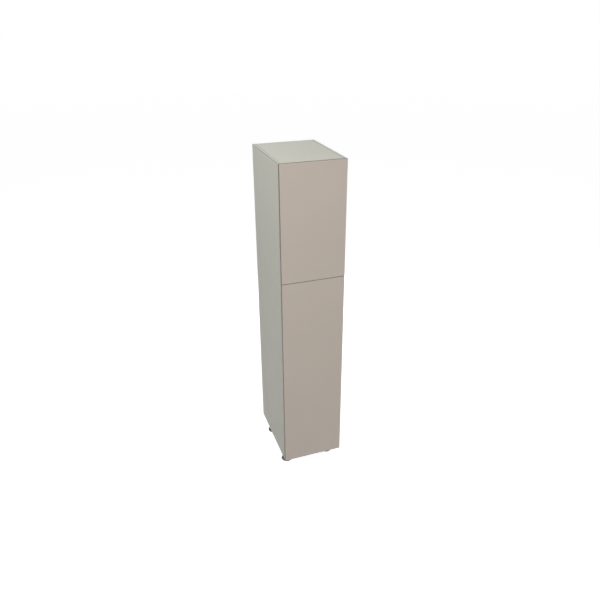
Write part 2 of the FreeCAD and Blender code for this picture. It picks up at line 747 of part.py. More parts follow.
def hinges(screw):
    heights = [(half_width, carcass_front_y, height) for height in all_hinges_z]
    group("hinge_mounting_plates", hinge_plate_form(), heights)
    group("hinge_arms", hinge_arm_form(), heights)
    into_side = Rotation(Vector(0, 1, 0), -QUARTER_TURN)
    into_door = Rotation(Vector(1, 0, 0), -QUARTER_TURN)
    plate_screws = []
    for height in all_hinges_z:
        for side in (-1, 1):
            spot = (half_width - board - plate_metal, carcass_front_y + row_setback)
            plate_screws.append(spot + (height + row_pitch / 2 * side,))
    group("hinge_plate_screws", screw, plate_screws, into_side)
    arm_screw = screw_form("arm_screw_form", arm_screw_length)
    spot = (half_width - arm_face, carcass_front_y + row_setback + arm_screw_distance)
    group("hinge_arm_screws", arm_screw, [spot + (height,) for height in all_hinges_z], into_side)

    cup = hinge_cup_form()
    pin = hinge_pin_form()
    for door, door_hinges in (("upper", upper_hinges_z), ("lower", lower_hinges_z)):
        cup_x = half_width - cup_inset
        group(f"{door}_hinge_cups", cup, [(cup_x, door_back_y, height) for height in door_hinges])
        pivot = (half_width - pivot_inset, carcass_front_y + pivot_back)
        group(f"{door}_hinge_pins", pin, [pivot + (height,) for height in door_hinges])
        screws = []
        for height in door_hinges:
            for side in (-1, 1):
                spot = (cup_x - flange_offset, door_back_y + flange_thickness)
                screws.append(spot + (height + cup_screw_spacing / 2 * side,))
        group(f"{door}_cup_screws", screw, screws, into_door)


# Doors

def door(label, low_z, height, door_hinges, latch_z):
    """A slab door with rounded edges and its bores for cups, cup screws and strike plate."""
    width = cabinet_width - side_reveal * 2
    body = slab(label, (-half_width + side_reveal, door_front_y, low_z), (width, door_thickness, height))
    edges = body.newObject("PartDesign::Fillet", f"{label}_arris")
    doc.recompute()
    panel = body.Group[1]
    edges.Base = (panel, [f"Edge{number + 1}" for number in range(len(panel.Shape.Edges))])
    bind(edges, "Radius", door_arris)
    body.Tip = edges
    cup_x = width + side_reveal - cup_inset
    cups = [(cup_x, hinge_z - low_z) for hinge_z in door_hinges]
    drill(body, "XZ_Plane", -door_thickness, cups, cup_radius, cup_depth, True)
    screws = []
    for hinge_z in door_hinges:
        for side in (-1, 1):
            screws.append((cup_x - flange_offset, hinge_z - low_z + cup_screw_spacing / 2 * side))
    pilot_depth = screw_length - flange_thickness
    drill(body, "XZ_Plane", -door_thickness, screws, screw_radius + wood_fit, pilot_depth, True)
    strike = [(latch_x + half_width - side_reveal, latch_z - low_z)]
    drill(body, "XZ_Plane", -door_thickness, strike, strike_peg_radius + wood_fit, strike_peg_length, True)


# Push latches

def push_latch(name, latch_z):
    """A latch under a cross board: housing with screw tabs, sprung plunger, and a strike on the door."""
    front_y = carcass_front_y + latch_setback
    housing = new_body(f"{name}_latch_housing", (latch_x, front_y, latch_z))
    shell = new_sketch(housing, "XZ_Plane", -latch_length)
    half_width_x = latch_width / 2
    half_height = latch_height / 2
    tab_x = half_width_x + tab_width
    draw_outline(shell, (
        (-half_width_x, -half_height),
        (half_width_x, -half_height),
        (half_width_x, half_height - tab_thickness),
        (tab_x, half_height - tab_thickness),
        (tab_x, half_height),
        (-tab_x, half_height),
        (-tab_x, half_height - tab_thickness),
        (-half_width_x, half_height - tab_thickness),
    ))
    pad(housing, shell, latch_length)
    bore = plunger_radius + plunger_clearance
    drill(housing, "XZ_Plane", 0, [(0, 0)], bore, plunger_bore, False)
    spots = [(-latch_screw_x, latch_screw_setback), (latch_screw_x, latch_screw_setback)]
    through = tab_thickness + cut_overrun
    drill(housing, "XY_Plane", half_height, spots, screw_radius + screw_clearance, through, False)

    tip_y = door_back_y + strike_thickness + strike_contact
    plunger = new_body(f"{name}_latch_plunger", (latch_x, tip_y, latch_z))
    rod = new_sketch(plunger, "XZ_Plane", -plunger_length)
    draw_circle(rod, (0, 0), plunger_radius)
    pad(plunger, rod, plunger_length)

    strike = new_body(f"{name}_strike_plate", (latch_x, door_back_y, latch_z))
    disc = new_sketch(strike, "XZ_Plane", -strike_thickness)
    draw_circle(disc, (0, 0), strike_radius)
    pad(strike, disc, strike_thickness)
    peg = new_sketch(strike, "XZ_Plane")
    draw_circle(peg, (0, 0), strike_peg_radius)
    pad(strike, peg, strike_peg_length)


def latch_screws(screw):
    places = []
    for latch_z in (upper_latch_z, lower_latch_z):
        for across in (-latch_screw_x, latch_screw_x):
            spot = (latch_x + across, carcass_front_y + latch_setback + latch_screw_setback)
            places.append(spot + (latch_z + latch_height / 2 - tab_thickness,))
    group("latch_screws", screw, places, Rotation(Vector(1, 0, 0), HALF_TURN))


# Legs: a socket under the bottom panel and a foot that screws out of it

def leg_sockets():
    for name, (leg_x, leg_y) in leg_places.items():
        socket = new_body(f"{name}_leg_socket", (leg_x, leg_y, leg_height))
        profile = new_sketch(socket, "XZ_Plane")
        low = -(socket_flange_thickness + socket_length)
        draw_outline(profile, (
            (stem_radius + stem_clearance, low),
            (socket_radius, low),
            (socket_radius, -socket_flange_thickness),
            (socket_flange_radius, -socket_flange_thickness),
            (socket_flange_radius, 0),
            (stem_radius + stem_clearance, 0),
        ))
        revolve(socket, profile)
        through = socket_flange_thickness + cut_overrun
        drill(socket, "XY_Plane", 0, leg_screw_ring(0, 0), screw_radius + screw_clearance, through, False)


def feet():
    """Each foot is a disc, a ribbed neck to turn it by, and the stem inside its socket."""
    for name, (leg_x, leg_y) in leg_places.items():
        foot = new_body(f"{name}_foot", (leg_x, leg_y, 0))
        profile = new_sketch(foot, "XZ_Plane")
        shoulder = leg_height - socket_flange_thickness - socket_length
        neck = shoulder - foot_thickness
        draw_outline(profile, (
            (0, 0),
            (foot_radius, 0),
            (foot_radius, foot_thickness - foot_edge),
            (foot_radius - foot_edge, foot_thickness),
            (neck_radius - neck_waist, foot_thickness),
            (neck_radius - neck_waist, foot_thickness + neck / 2),
            (neck_radius, foot_thickness + neck / 2 + neck_waist),
            (neck_radius, shoulder),
            (stem_radius, shoulder),
            (stem_radius, shoulder + stem_length),
            (0, shoulder + stem_length),
        ))
        revolve(foot, profile)


def leg_screws(screw):
    places = []
    for leg_x, leg_y in leg_places.values():
        for across, along in leg_screw_ring(leg_x, leg_y):
            places.append((across, along, leg_height - socket_flange_thickness))
    group("leg_screws", screw, places, Rotation(Vector(1, 0, 0), HALF_TURN))


# The whole cabinet

side_panel("left_side_panel", -half_width, board, False, board - groove_depth)
right_side_panel()
cross_boards()
back_and_rails()
loose_shelves()
carcass_edge_bands()
shelf_pins()
corner_fittings()
short_screw = screw_form("screw_form", screw_length)
hinges(short_screw)
door("upper_door", upper_door_z, upper_door_height, upper_hinges_z, upper_latch_z)
door("lower_door", leg_height, lower_door_height, lower_hinges_z, lower_latch_z)
push_latch("upper", upper_latch_z)
push_latch("lower", lower_latch_z)
latch_screws(short_screw)
leg_sockets()
feet()
leg_screws(short_screw)
doc.recompute()

# Every object is sound and every cut has taken something away before a file is written

faults = [item.Name for item in doc.Objects if "Invalid" in item.State or "Error" in item.State]
faults += [item.Label for item in sub_parts if item.Shape.isNull() or not item.Shape.isValid()]
faults += [cut.Name for cut, before in cuts if not cut.Shape.Volume < before.Shape.Volume]
if faults:
    raise RuntimeError("failed objects: " + ", ".join(faults))

os.makedirs("parts", exist_ok=True)
for item in sub_parts:
    item.Shape.exportStep(f"parts/{item.Label}.step")
    print(item.Label, len(item.Shape.Solids), round(item.Shape.Volume))
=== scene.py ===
# %% [markdown]
# # A tall utility cabinet
# The cabinet is a narrow tower for brooms, boxes and stores: two plain doors, a light grey carcass and four
# dark grey screw feet. The boards, hinges and feet come from a CAD model, so this lesson never moves or
# reshapes them. It gives every board its finish, swaps the plain small fittings for detailed ones, and
# lights the lot.

# %% Load the cabinet
import json
import math

import bmesh
import bpy
from mathutils import Matrix, Vector


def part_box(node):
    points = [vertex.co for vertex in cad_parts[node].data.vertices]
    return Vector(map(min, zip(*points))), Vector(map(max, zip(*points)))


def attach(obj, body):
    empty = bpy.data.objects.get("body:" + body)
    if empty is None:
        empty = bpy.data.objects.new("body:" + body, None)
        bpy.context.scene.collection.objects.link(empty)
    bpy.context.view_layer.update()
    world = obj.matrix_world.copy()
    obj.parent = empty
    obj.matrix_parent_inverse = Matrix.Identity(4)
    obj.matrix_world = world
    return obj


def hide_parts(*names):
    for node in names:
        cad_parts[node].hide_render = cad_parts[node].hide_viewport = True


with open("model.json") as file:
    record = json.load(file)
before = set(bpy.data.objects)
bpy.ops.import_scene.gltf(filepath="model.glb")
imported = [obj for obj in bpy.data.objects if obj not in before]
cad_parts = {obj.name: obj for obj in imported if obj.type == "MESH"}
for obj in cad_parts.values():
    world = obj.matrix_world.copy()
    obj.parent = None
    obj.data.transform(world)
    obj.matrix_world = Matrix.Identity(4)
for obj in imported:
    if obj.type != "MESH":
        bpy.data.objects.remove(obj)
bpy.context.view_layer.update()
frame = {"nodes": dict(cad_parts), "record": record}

# %% [markdown]
# ## Wiring nodes in code
# The finishes, the repeated fittings and the sky are all node trees. They could be clicked together in an
# editor, but wired in code they can be read from top to bottom and run again. One small helper adds a node,
# sets or links its inputs and hands back its outputs, so that a recipe needs about one line for each node.

# %% Wiring
class Wiring:
    """A node tree being wired up."""

    def __init__(self, tree):
        self.tree = tree

    def feed(self, value, socket):
        """Link another node's socket, or set a plain value."""
        if isinstance(value, bpy.types.NodeSocket):
            self.tree.links.new(value, socket)
        else:
            socket.default_value = value

    def add(self, kind, inputs=None, **settings):
        """One node. An input takes a value, another node's socket, or a list of sockets to be joined."""
        node = self.tree.nodes.new(kind)
        for name, value in settings.items():
            setattr(node, name, value)
        for name, value in (inputs or {}).items():
            for part in value if isinstance(value, list) else [value]:
                self.feed(part, node.inputs[name])
        return node.outputs

    def sums(self, operation, first, second=0.0):
        """What one Math node works out."""
        return self.add("ShaderNodeMath", {0: first, 1: second}, operation=operation)["Value"]


print("wiring helper ready")

# %% [markdown]
# ## Small helpers for finishes
# A finish is a small tree that ends in one Principled shader. Almost every surface here needs the same three
# ideas: a broad tint that keeps a large board from looking dead flat, a fine grain that breaks up the
# highlight, and a little relief. Patterns read Object coordinates, in metres, so a scale is simply how many
# features there are in a metre. A Mix node has sockets of the same names for numbers and for colours, so the
# ones for colours are picked by their numbers.

# %% Helpers for finishes
SCREEN_TOE, SCREEN_POWER = 0.055, 2.4
NOISE_LOW, NOISE_HIGH = 0.3, 0.7
MIX_FIRST, MIX_SECOND, MIX_RESULT = 6, 7, 2

finishes = {}


def paint(red, green, blue):
    """A colour picked on a 0 to 255 screen scale, as the linear values a shader expects."""
    shares = [(part / 255 + SCREEN_TOE) / (1 + SCREEN_TOE) for part in (red, green, blue)]
    return (*[share**SCREEN_POWER for share in shares], 1.0)


class Finish(Wiring):
    """A material being wired up, with its shader's inputs and the coordinates of the piece that wears it."""

    def __init__(self, name, constants):
        self.name = name
        self.material = bpy.data.materials.new(name)
        self.material.use_nodes = True
        super().__init__(self.material.node_tree)
        self.coordinates = self.add("ShaderNodeTexCoord")
        self.shader = self.tree.nodes["Principled BSDF"].inputs
        for label, value in constants.items():
            self.shader[label].default_value = value

    def stretched(self, stretch):
        """The Object coordinates, scaled along each axis."""
        place = {"Vector": self.coordinates["Object"], "Scale": stretch}
        return self.add("ShaderNodeMapping", place)["Vector"]

    def noise(self, per_metre, detail=2.0, stretch=(1, 1, 1)):
        grain = {"Vector": self.stretched(stretch), "Scale": per_metre, "Detail": detail}
        return self.add("ShaderNodeTexNoise", grain)["Fac"]

    def spread(self, source, low=0.0, high=1.0):
        """Spread the middle of a noise, where most of its values lie, over a range."""
        ends = {"From Min": NOISE_LOW, "From Max": NOISE_HIGH, "To Min": low, "To Max": high}
        return self.add("ShaderNodeMapRange", {"Value": source, **ends})["Result"]

    def blend(self, share, first, second):
        """A colour between two, each either a colour or a socket."""
        ends = {"Factor": share, MIX_FIRST: first, MIX_SECOND: second}
        return self.add("ShaderNodeMix", ends, data_type="RGBA")[MIX_RESULT]

    def colour(self, source):
        self.feed(source, self.shader["Base Color"])

    def rough(self, source):
        self.feed(source, self.shader["Roughness"])

    def relief(self, height, depth, strength):
        bump = {"Height": height, "Distance": depth, "Strength": strength}
        self.feed(self.add("ShaderNodeBump", bump)["Normal"], self.shader["Normal"])

    def keep(self):
        """File the finish under the name asked for, as Blender adds a number to a name that is taken."""
        finishes[self.name] = self.material
        print(f"{self.name}: {len(self.tree.nodes)} nodes")


print("half grey on screen is", round(paint(128, 128, 128)[0], 3), "of white in linear light")

# %% [markdown]
# ## Matt cashmere lacquer
# The doors are fibreboard sprayed with a matt warm-beige lacquer. Sprayed paint is never perfectly flat: it
# dries with a soft ripple about two millimetres wide that painters call orange peel, and the sheen drifts a
# little over a metre of door. One noise makes the ripple, a broad one drifts the tint, and a very fine one
# gives the matting powder in the lacquer its faint grain. The narrow edges are painted a dark tone as painted
# shade, which shows as the thin line of shadow in the gap beside each door, and a hair of that painted shade
# runs down the long sides of the face. Masks on the piece's own normal and on its Object coordinates pick out
# both, so that one material is enough.

# %% Door lacquer
DOOR_SHADE_HAIR = 0.0012
FACING_LIMIT = 0.5


def on_edges(finish):
    """1 on the narrow edges of an upright panel, and 0 on its broad front and back."""
    normal = finish.add("ShaderNodeSeparateXYZ", {"Vector": finish.coordinates["Normal"]})
    return finish.sums("LESS_THAN", finish.sums("ABSOLUTE", normal["Y"]), FACING_LIMIT)


def beyond(finish, axis, limit):
    """1 where the piece lies further than a limit from the middle on one axis, in metres, or else 0."""
    place = finish.add("ShaderNodeSeparateXYZ", {"Vector": finish.coordinates["Object"]})
    return finish.sums("GREATER_THAN", finish.sums("ABSOLUTE", place[axis]), limit)


def door_lacquer():
    finish = Finish("door_lacquer", {"Roughness": 0.45, "Specular IOR Level": 0.3})
    drift = finish.spread(finish.noise(per_metre=2.2, detail=3.0))
    face = finish.blend(drift, paint(197, 186, 175), paint(200, 189, 178))
    powder = finish.spread(finish.noise(per_metre=2600), high=0.12)
    face = finish.blend(powder, face, paint(171, 161, 150))
    # painted shade: a hair of the face along each long side is darkened to stand for the shadow in the gap
    # beside the door
    painted_gap_shade = beyond(finish, "X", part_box("upper_door")[1].x - DOOR_SHADE_HAIR)
    face = finish.blend(painted_gap_shade, face, paint(131, 122, 113))
    # painted shade: the narrow edges are darkened to stand for the shadow in the gaps round the door
    finish.colour(finish.blend(on_edges(finish), face, paint(101, 93, 85)))
    finish.rough(finish.spread(finish.noise(per_metre=30, detail=3.0), low=0.42, high=0.5))
    finish.relief(finish.noise(per_metre=480), depth=0.0001, strength=0.25)
    finish.keep()


door_lacquer()

# %% [markdown]
# ## Raw edges and painted shade lines
# Nobody faces the edge of a board that stands against the wall, so there the chips of wood show, as flat
# flakes that a stretched Voronoi pattern gives. From above, a thin dark line of painted shade runs along each
# outer corner of the top and along each joint between a side panel and the top panel, standing in for the
# hairline shadows there. Grooves cut into the boards could cast those shadows, but they are under three
# millimetres wide, so masks on the Object coordinates paint them. A mask starts a hair under the face that it
# picks out, so that rounding can't make it miss.

# %% Raw edges and painted shade lines
TOP_SKIN, EDGE_SKIN = 0.0005, 0.0004
ARRIS = 0.002
HALF_JOINT = 0.0014
TAPE_SHARE, SHADE_LINE_SHARE = 0.12, 0.9


def chip_colours(finish):
    """Pressed wood chips: flat flakes of pale and brown wood, longer along the board than across."""
    flakes = {"Vector": finish.stretched((1, 1, 0.35)), "Scale": 420}
    tint = {"Color": finish.add("ShaderNodeTexVoronoi", flakes)["Color"]}
    share = finish.add("ShaderNodeSeparateColor", tint)["Red"]
    wood = finish.blend(share, paint(150, 116, 78), paint(206, 178, 136))
    shade = finish.spread(finish.noise(per_metre=900, detail=3.0), high=0.5)
    return finish.blend(shade, wood, paint(112, 82, 54))


def taped_ends_and_shade_lines(finish, face):
    """The side panels' taped top ends, and painted shade lines along the arris and in the joint with the top.
    """
    low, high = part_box("left_side_panel")
    outside, inside = -low.x, -high.x
    top_end = beyond(finish, "Z", high.z - TOP_SKIN)
    taped = finish.sums("MULTIPLY", top_end, beyond(finish, "X", inside))
    face = finish.blend(finish.sums("MULTIPLY", taped, TAPE_SHARE), face, paint(150, 149, 141))
    # painted shade: a dark line along the outer arris of the top and in each side panel's joint with the top
    # stands for the hairline shadow there
    near_side = beyond(finish, "X", outside - ARRIS)
    arris = finish.sums("MULTIPLY", near_side, beyond(finish, "Z", high.z - ARRIS))
    from_joint = beyond(finish, "X", inside - HALF_JOINT)
    joint = finish.sums("SUBTRACT", from_joint, beyond(finish, "X", inside + HALF_JOINT))
    lines = finish.sums("MAXIMUM", arris, finish.sums("MULTIPLY", joint, top_end))
    return finish.blend(finish.sums("MULTIPLY", lines, SHADE_LINE_SHARE), face, paint(96, 94, 88))


raw_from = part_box("left_side_panel")[1].y - EDGE_SKIN
print("boards are raw past y =", round(raw_from, 4))

# %% [markdown]
# ## Light grey faced board
# The carcass is particle board pressed between sheets of printed resin paper. The face is a light grey with
# a trace of green, and the press plate leaves it with a fine pearl texture, so one noise serves the colour
# and the relief alike. A mask along the depth lays the raw chips on the one edge at the wall, which needs no
# second material and no change to the CAD mesh.

# %% Carcass board
def carcass_board():
    finish = Finish("carcass_board", {"Roughness": 0.5, "Specular IOR Level": 0.35})
    drift = finish.spread(finish.noise(per_metre=2.7, detail=3.0))
    face = finish.blend(drift, paint(180, 179, 168), paint(183, 182, 171))
    pearl = finish.noise(per_metre=1500, detail=3.0)
    face = finish.blend(finish.spread(pearl, high=0.14), face, paint(158, 157, 147))
    face = finish.blend(beyond(finish, "Y", raw_from), face, chip_colours(finish))
    # the board's colour includes the painted shade lines at the arris and the joints
    finish.colour(taped_ends_and_shade_lines(finish, face))
    finish.rough(finish.spread(finish.noise(per_metre=45, detail=3.0), low=0.46, high=0.56))
    finish.relief(pearl, depth=0.00008, strength=0.35)
    finish.keep()


carcass_board()

# %% [markdown]
# ## Back panel
# The back is a thin hard fibreboard in grooves. Its inner side is printed to match the carcass, and its
# outer side is the bare brown fibre that the makers leave for the wall. The same trick as on the boards
# chooses between them, with the limit just under the outer face.

# %% Back board
FIBRE_SKIN = 0.0003


def back_board():
    finish = Finish("back_board", {"Roughness": 0.55})
    drift = finish.spread(finish.noise(per_metre=3.0, detail=3.0))
    inner = finish.blend(drift, paint(190, 189, 178), paint(194, 193, 182))
    fibres = finish.spread(finish.noise(per_metre=260, detail=6.0, stretch=(1, 1, 0.25)))
    outer = finish.blend(fibres, paint(134, 100, 66), paint(158, 122, 84))
    outer_face = beyond(finish, "Y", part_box("back_panel")[1].y - FIBRE_SKIN)
    finish.colour(finish.blend(outer_face, inner, outer))
    finish.rough(finish.spread(finish.noise(per_metre=60, detail=3.0), low=0.5, high=0.68))
    finish.relief(finish.noise(per_metre=900, detail=4.0), depth=0.0001, strength=0.3)
    finish.keep()


back_board()

# %% [markdown]
# ## Edge band
# A millimetre of plastic tape covers each front edge of the carcass. It is cut from a roll and scraped flush,
# which leaves faint scratches along its length, so its grain is a noise that is stretched a hundred times
# along the tape. Upright tapes and level ones need the stretch in different directions.

# %% Edge band
def edge_band(name, stretch):
    finish = Finish(name, {"Roughness": 0.4})
    streaks = finish.noise(per_metre=700, detail=3.0, stretch=stretch)
    finish.colour(finish.blend(finish.spread(streaks), paint(186, 186, 175), paint(192, 192, 181)))
    finish.rough(finish.spread(streaks, low=0.36, high=0.46))
    finish.relief(streaks, depth=0.00005, strength=0.3)
    finish.keep()


edge_band("upright_band", stretch=(1, 1, 0.01))
edge_band("level_band", stretch=(0.01, 1, 1))

# %% [markdown]
# ## Beech dowels
# Dowels are turned from beech, whose rays show as short flecks along the grain. A noise stretched along the
# dowel's length gives the flecks, and the same noise lifts them a little. A pattern of growth rings would be
# wasted on a peg that is eight millimetres thick.

# %% Beech
def beech():
    finish = Finish("beech", {"Roughness": 0.55})
    rays = finish.noise(per_metre=900, stretch=(0.12, 1, 1))
    finish.colour(finish.blend(finish.spread(rays), paint(196, 150, 104), paint(222, 184, 140)))
    finish.relief(rays, depth=0.0001, strength=0.4)
    finish.keep()


beech()

# %% [markdown]
# ## Moulded plastics
# The feet and latches are moulded in tools whose walls were spark-eroded, and the plastic copies that fine
# matt skin. One recipe serves all three colours: a fine noise for the skin, which also varies the roughness,
# and a cloudy one for the slight flow marks in the colour.

# %% Moulded plastics
SMOOTHER, ROUGHER = 0.06, 0.08


def moulded(name, dark, light, roughness):
    finish = Finish(name, {"Roughness": roughness})
    skin = finish.noise(per_metre=1800)
    cloud = finish.spread(finish.noise(per_metre=40, detail=3.0))
    finish.colour(finish.blend(cloud, dark, light))
    finish.rough(finish.spread(skin, low=roughness - SMOOTHER, high=roughness + ROUGHER))
    finish.relief(skin, depth=0.00012, strength=0.4)
    finish.keep()


moulded("foot_plastic", paint(99, 97, 95), paint(109, 107, 105), roughness=0.5)
moulded("latch_plastic", paint(176, 176, 172), paint(188, 188, 184), roughness=0.42)
moulded("plunger_plastic", paint(84, 84, 86), paint(96, 96, 98), roughness=0.38)

# %% [markdown]
# ## Metals
# Cast zinc is dull and cloudy, nickel plating is bright with fine polishing lines, and the screws are plain
# zinc-plated steel. They differ only in tone, in how fine the pattern is and which way it runs, and in how
# rough they are, so one recipe takes those as its inputs. The roughness drifts in patches that are larger
# than the pattern, because polishing is never quite even.

# %% Metals
PATCH_SIZE = 6


def metal(name, dark, light, per_metre, low, high, stretch=(1, 1, 1)):
    finish = Finish(name, {"Roughness": (low + high) / 2, "Metallic": 1.0})
    lines = finish.noise(per_metre, detail=4.0, stretch=stretch)
    finish.colour(finish.blend(finish.spread(lines), dark, light))
    finish.rough(finish.spread(finish.noise(per_metre / PATCH_SIZE), low, high))
    finish.relief(lines, depth=0.00002, strength=0.15)
    finish.keep()


metal("zinc", paint(168, 170, 172), paint(190, 191, 193), per_metre=300, low=0.34, high=0.48)
polished = {"per_metre": 2400, "low": 0.24, "high": 0.28, "stretch": (1, 0.04, 1)}
metal("nickel", paint(204, 200, 192), paint(212, 208, 201), **polished)
metal("screw_steel", paint(176, 174, 166), paint(198, 197, 192), per_metre=700, low=0.26, high=0.4)

# %% [markdown]
# ## Dress the CAD pieces
# A CAD node keeps its mesh and its place, and only its material changes. The names say what each piece is, so
# a list of name endings finds the right finish, and the first ending that fits wins.

# %% Dress the CAD pieces
FINISH_BY_ENDING = (
    ("shelf_edge_band", "level_band"),
    ("panel_edge_band", "level_band"),
    ("edge_band", "upright_band"),
    ("_door", "door_lacquer"),
    ("back_panel", "back_board"),
    ("dowels", "beech"),
    ("cam_locks", "zinc"),
    ("strike_plate", "zinc"),
    ("screws", "screw_steel"),
    ("cam_bolts", "screw_steel"),
    ("shelf_pins", "nickel"),
    ("hinge_mounting_plates", "nickel"),
    ("hinge_arms", "nickel"),
    ("hinge_cups", "nickel"),
    ("hinge_pins", "nickel"),
    ("latch_housing", "latch_plastic"),
    ("latch_plunger", "plunger_plastic"),
    ("leg_socket", "foot_plastic"),
    ("_foot", "foot_plastic"),
    ("", "carcass_board"),
)


def finish_for(name):
    return finishes[next(finish for ending, finish in FINISH_BY_ENDING if name.endswith(ending))]


for name, node in frame["nodes"].items():
    node.data.materials.clear()
    node.data.materials.append(finish_for(name))
print("dressed", len(frame["nodes"]), "CAD pieces")

# %% [markdown]
# ## Fittings from node trees
# Screws, ribs and gussets repeat, so each is drawn once in a Geometry Nodes tree, and the tree sets out the
# copies. They could be copied by a loop, but in a tree every size is a named input that can be changed later.
# The tree ends by making the copies real and giving them their finish.

# %% Helper for shape trees
class ShapeTree(Wiring):
    """A Geometry Nodes tree being wired up, with a named input for each size."""

    KINDS = {"Count": "NodeSocketInt", "Facing": "NodeSocketVector", "Centre": "NodeSocketVector"}

    def __init__(self, name, sizes):
        super().__init__(bpy.data.node_groups.new(name, "GeometryNodeTree"))
        sockets = self.tree.interface
        sockets.new_socket("Geometry", in_out="OUTPUT", socket_type="NodeSocketGeometry")
        sockets.new_socket("Geometry", in_out="INPUT", socket_type="NodeSocketGeometry")
        for label in sizes:
            kind = self.KINDS.get(label, "NodeSocketFloat")
            sockets.new_socket(label, in_out="INPUT", socket_type=kind)
        sockets.new_socket("Finish", in_out="INPUT", socket_type="NodeSocketMaterial")
        self.size = self.add("NodeGroupInput")

    def vector(self, **parts):
        return self.add("ShaderNodeCombineXYZ", parts)["Vector"]

    def position(self):
        return self.add("GeometryNodeInputPosition")["Position"]

    def moved(self, shape, **parts):
        place = {"Geometry": shape, "Translation": self.vector(**parts)}
        return self.add("GeometryNodeTransform", place)["Geometry"]

    def shifted(self, shape, selection, **parts):
        """Move only the points that are selected."""
        points = {"Geometry": shape, "Selection": selection, "Offset": self.vector(**parts)}
        return self.add("GeometryNodeSetPosition", points)["Geometry"]

    def finish(self, shape):
        """Make the copies real, give them their finish and send them out."""
        real = self.add("GeometryNodeRealizeInstances", {"Geometry": shape})["Geometry"]
        dressed = self.add("GeometryNodeSetMaterial", {"Geometry": real, "Material": self.size["Finish"]})
        self.add("NodeGroupOutput", {"Geometry": dressed["Geometry"]})
        print(f"{self.tree.name}: {len(self.tree.nodes)} nodes")
        return self.tree


print("shape tree helper ready")

# %% [markdown]
# ## Plain meshes that ride on the cabinet
# An export forgets copies that live in a modifier, so what a modifier makes is kept as one plain mesh and the
# modifier is removed. Each new piece then takes over the place of one CAD node: it rides on the same body, so
# that a hinge screw swings with its door, and it hides the node.

# %% Keep and place pieces
CREASE = math.radians(32)

bodies = frame["record"]["behaviour"]["bodies"]
body_of = {node: body for body, members in bodies.items() for node in members}


def new_object(name, data):
    piece = bpy.data.objects.new(name, data)
    bpy.context.scene.collection.objects.link(piece)
    return piece


def settled(piece):
    """Keep what the modifiers of a piece make as its plain mesh."""
    graph = bpy.context.evaluated_depsgraph_get()
    mesh = bpy.data.meshes.new_from_object(piece.evaluated_get(graph))
    piece.modifiers.clear()
    piece.data = mesh
    return piece


def smoothed(piece):
    """Shade a plain mesh smooth between its sharp edges."""
    piece.data.shade_smooth()
    piece.data.set_sharp_from_angle(angle=CREASE)
    return piece


def grown(piece, tree, sizes):
    """Run a tree on a piece, with its inputs set by their identifiers, and keep the result."""
    modifier = piece.modifiers.new(tree.name, "NODES")
    modifier.node_group = tree
    for item in tree.interface.items_tree:
        if item.in_out == "INPUT" and item.name in sizes:
            modifier[item.identifier] = sizes[item.name]
    return smoothed(settled(piece))


def stands_for(piece, node):
    """The piece takes over a CAD node's place: it rides on its body and hides the node."""
    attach(piece, body_of[node])
    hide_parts(node)
    print(f"{piece.name}: {len(piece.data.polygons)} faces for {node} on {body_of[node]}")


# %% [markdown]
# ## Cross-head screws
# Forty-five screws hold the hinges, latches and legs. A real one has a low domed head with a cross recess.
# Here the head is a disc that is domed by lowering its rim, the shank is a plain rod because its thread is
# hidden in the board, and two crossed bars stand ready to cut the recess. A bump could fake the cross, but a
# real cut keeps its shape and its shadow in a close view.

# %% Shape of a screw
SCREW_SIZES = {
    "Head radius": 0.0038,
    "Head height": 0.002,
    "Shank radius": 0.002,
    "Slot length": 0.0046,
    "Slot width": 0.0009,
    "Slot depth": 0.0012,
}
HEAD_SIDES, DOME_RINGS, SHANK_SIDES = 28, 4, 16
RIM_DROP_SHARE = 0.55
ROOT_SHARE = 0.25


def screw_head(tree):
    """A disc that stands on the seat, domed by lowering the rim of its upper side."""
    radius, height = tree.size["Head radius"], tree.size["Head height"]
    disc = {"Vertices": HEAD_SIDES, "Fill Segments": DOME_RINGS, "Radius": radius, "Depth": height}
    head = tree.add("GeometryNodeMeshCylinder", disc, fill_type="TRIANGLE_FAN")["Mesh"]
    place = tree.add("ShaderNodeSeparateXYZ", {"Vector": tree.position()})
    squares = [tree.sums("POWER", tree.sums("DIVIDE", place[axis], radius), 2.0) for axis in "XY"]
    rim_drop = tree.sums("MULTIPLY", height, -RIM_DROP_SHARE)
    drop = tree.sums("MULTIPLY", tree.sums("ADD", *squares), rim_drop)
    domed = tree.shifted(head, tree.sums("GREATER_THAN", place["Z"], 0.0), Z=drop)
    return tree.moved(domed, Z=tree.sums("DIVIDE", height, 2.0))


def screw_shank(tree):
    """A rod down from the seat, whose root reaches up into the head."""
    below = tree.size["Shank length"]
    root = tree.sums("MULTIPLY", tree.size["Head height"], ROOT_SHARE)
    length = tree.sums("ADD", below, root)
    rod = {"Vertices": SHANK_SIDES, "Radius": tree.size["Shank radius"], "Depth": length}
    shank = tree.add("GeometryNodeMeshCylinder", rod)["Mesh"]
    return tree.moved(shank, Z=tree.sums("DIVIDE", tree.sums("SUBTRACT", root, below), 2.0))


def cross_recess(tree):
    """Two crossed bars, set half above the head so that they cut it cleanly."""
    size = tree.size
    bars = []
    for across, along in (("Slot length", "Slot width"), ("Slot width", "Slot length")):
        depth = tree.sums("MULTIPLY", size["Slot depth"], 2.0)
        block = {"Size": tree.vector(X=size[across], Y=size[along], Z=depth)}
        bars.append(tree.moved(tree.add("GeometryNodeMeshCube", block)["Mesh"], Z=size["Head height"]))
    return bars


print("a screw's head is", round(2000 * SCREW_SIZES["Head radius"], 1), "mm across")

# %% [markdown]
# ## A tree of screws
# One Boolean joins the head and the shank, a second cuts the cross out of them, and a copy goes on every
# point that the tree is given. A screw is driven until it is tight, so no two stop at the same angle. A
# random turn about each screw's own axis does that, with a fixed seed so that every run gives the same turns.

# %% Screw tree
SPIN_SEED = 7


